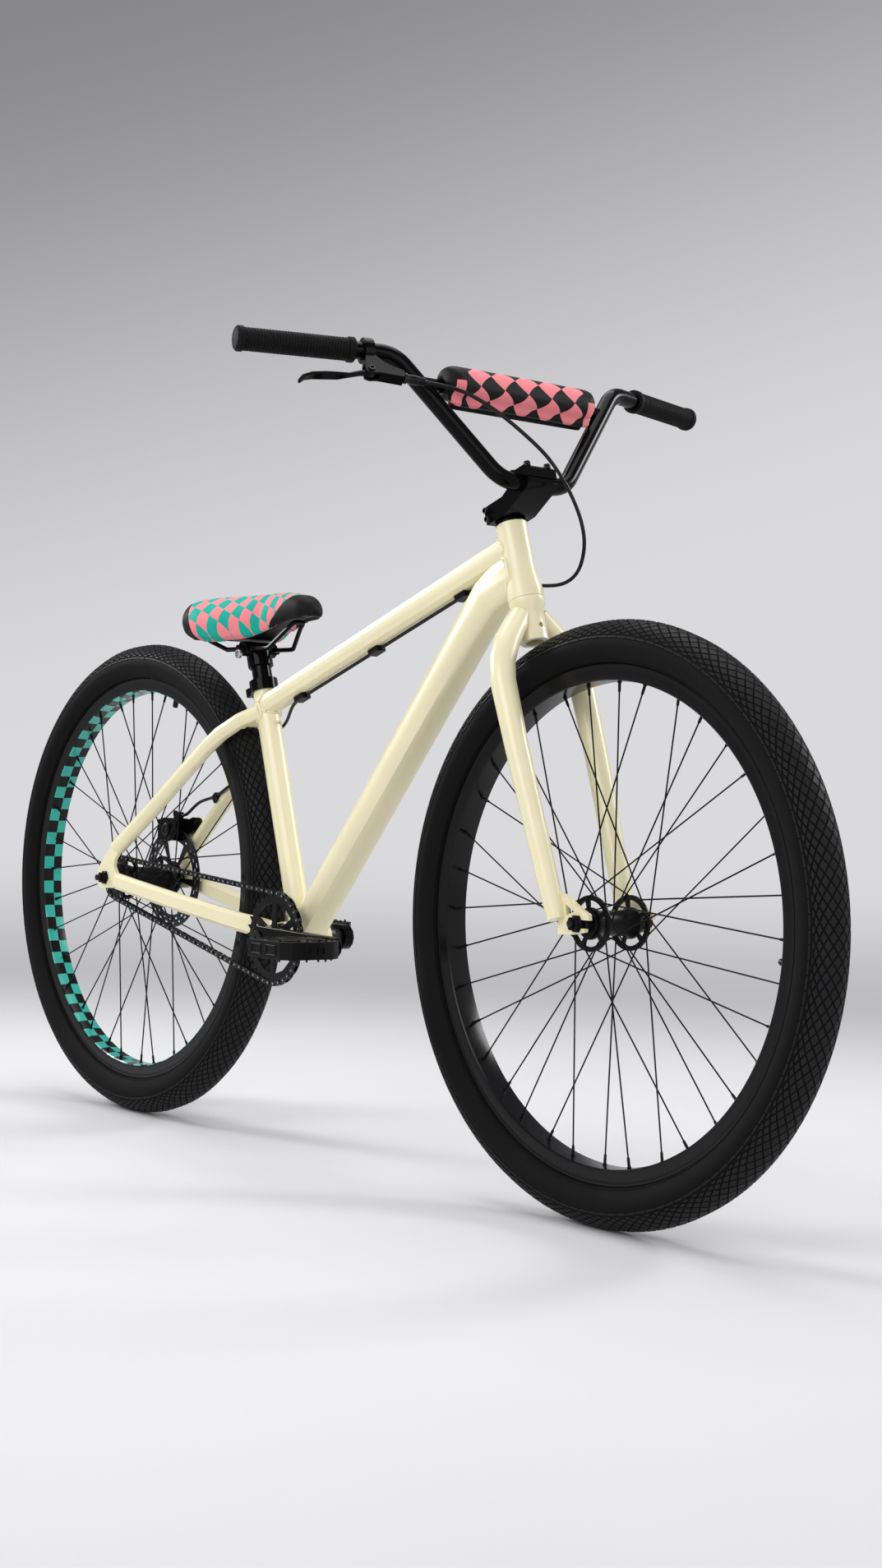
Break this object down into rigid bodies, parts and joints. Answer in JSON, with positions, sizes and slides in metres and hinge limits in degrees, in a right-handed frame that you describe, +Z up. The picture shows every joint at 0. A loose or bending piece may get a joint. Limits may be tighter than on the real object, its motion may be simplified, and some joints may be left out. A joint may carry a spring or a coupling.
{
  "type": "bicycle",
  "caption": "Wheelie bike: 29-inch BMX-style bicycle with tall bars and pad, chain drive, rear disc brake, platform pedals and checked saddle.",
  "frame": {"origin": "on the ground, midway between the two wheel axles, in the bike's middle plane", "axes": "+X forwards, +Y to the rider's left, +Z up"},
  "size_m": [1.83, 0.7824, 1.0877],
  "materials": {
    "black_metal": "black oxide",
    "checker_cloth": "teal and pink diamond checks on black",
    "cream": "gloss pale yellow enamel",
    "gloss_black": "gloss black",
    "pad_cloth": "pink and black diamonds",
    "plastic": "matt black",
    "rubber": "matt black",
    "satin_black": "satin black",
    "steel": "ground",
    "tyre_rubber": "matt black, moulded lattice tread"
  },
  "bodies": {
    "frame": {"head_tube": "cream", "top_tube": "cream", "down_tube": "cream", "seat_tube": "cream", "bottom_bracket_shell": "cream", "bottom_bracket_cartridge": "satin_black", "seatstay_right": "cream", "seatstay_left": "cream", "chainstay_right": "cream", "chainstay_left": "cream", "seatstay_bridge": "cream", "seat_clamp": "satin_black", "cable_clip_rear": "plastic", "cable_clip_middle": "plastic", "cable_clip_front": "plastic", "stay_cable_clip": "plastic", "caliper_body": "black_metal", "caliper_adapter": "black_metal", "axle_rear": "black_metal", "axle_nut_rear_right": "black_metal", "axle_nut_rear_left": "black_metal", "brake_cable": "rubber", "brake_cable_loop": "rubber", "chain": "black_metal"},
    "fork": {"fork_crown": "cream", "fork_leg_right": "cream", "fork_leg_left": "cream", "stem": "gloss_black", "stem_clamp": "gloss_black", "headset_cover": "satin_black", "headset_top_cap": "gloss_black", "handlebar": "gloss_black", "grip_right": "rubber", "grip_left": "rubber", "bar_pad": "pad_cloth", "brake_lever_bracket": "gloss_black", "axle_front": "black_metal", "axle_nut_front_right": "black_metal", "axle_nut_front_left": "black_metal"},
    "brake_lever": {"brake_lever_blade": "gloss_black"},
    "caliper_arm": {"caliper_arm": "black_metal"},
    "front_wheel": {"tyre_front": "tyre_rubber", "rim_front": "satin_black", "hub_front": "gloss_black"},
    "rear_wheel": {"tyre_rear": "tyre_rubber", "rim_rear": "satin_black", "hub_rear": "gloss_black", "brake_disc": "steel"},
    "freewheel": {"freewheel_cog": "satin_black"},
    "crankset": {"crank_spindle": "black_metal", "crank_arm_right": "satin_black", "crank_arm_left": "satin_black", "chainring": "satin_black"},
    "pedal_right": {"pedal_right": "plastic"},
    "pedal_left": {"pedal_left": "plastic"},
    "seatpost": {"seatpost": "satin_black", "saddle_clamp": "satin_black", "saddle_rails": "black_metal", "saddle_base": "plastic", "saddle_cushion": "checker_cloth"}
  },
  "joints": [
    {"name": "steering", "type": "hinge", "parent": "frame", "child": "fork", "pos_m": [0.36579, 0, 0.77544], "axis": [-0.3305, 0, 0.9438], "range_deg": [-80, 80], "deforming": ["brake_cable_loop"]},
    {"name": "front_wheel_spin", "type": "hinge", "parent": "fork", "child": "front_wheel", "pos_m": [0.5425, 0, 0.3725], "axis": [0, 1, 0], "continuous": true},
    {"name": "rear_wheel_spin", "type": "hinge", "parent": "frame", "child": "rear_wheel", "pos_m": [-0.5425, 0, 0.3725], "axis": [0, 1, 0], "continuous": true},
    {"name": "crank_spin", "type": "hinge", "parent": "frame", "child": "crankset", "pos_m": [-0.1039, 0, 0.308], "axis": [0, 1, 0], "continuous": true, "deforming": ["chain"]},
    {"name": "freewheel_spin", "type": "hinge", "parent": "frame", "child": "freewheel", "pos_m": [-0.5425, 0, 0.3725], "axis": [0, 1, 0], "continuous": true},
    {"name": "pedal_right_spin", "type": "hinge", "parent": "crankset", "child": "pedal_right", "pos_m": [0.0661, 0, 0.308], "axis": [0, 1, 0], "continuous": true},
    {"name": "pedal_left_spin", "type": "hinge", "parent": "crankset", "child": "pedal_left", "pos_m": [-0.2739, 0, 0.308], "axis": [0, 1, 0], "continuous": true},
    {"name": "brake_lever_pull", "type": "hinge", "parent": "fork", "child": "brake_lever", "pos_m": [0.32586, -0.23271, 1.04039], "axis": [-0.7451, 0.2145, -0.6315], "range_deg": [0, 22], "stiffness_Nm_per_rad": 1.5, "springref_deg": -11.46},
    {"name": "caliper_arm_pull", "type": "hinge", "parent": "frame", "child": "caliper_arm", "pos_m": [-0.5485, 0.0643, 0.4495], "axis": [0, 1, 0], "range_deg": [0, 15]},
    {"name": "seatpost_slide", "type": "slide", "parent": "frame", "child": "seatpost", "axis": [-0.3123, 0, 0.95], "range_m": [-0.02, 0.1]}
  ],
  "couplings": [
    {"joint": "freewheel_spin", "follows": "crank_spin", "ratio": 2},
    {"joint": "caliper_arm_pull", "follows": "brake_lever_pull", "ratio": 0.68}
  ]
}
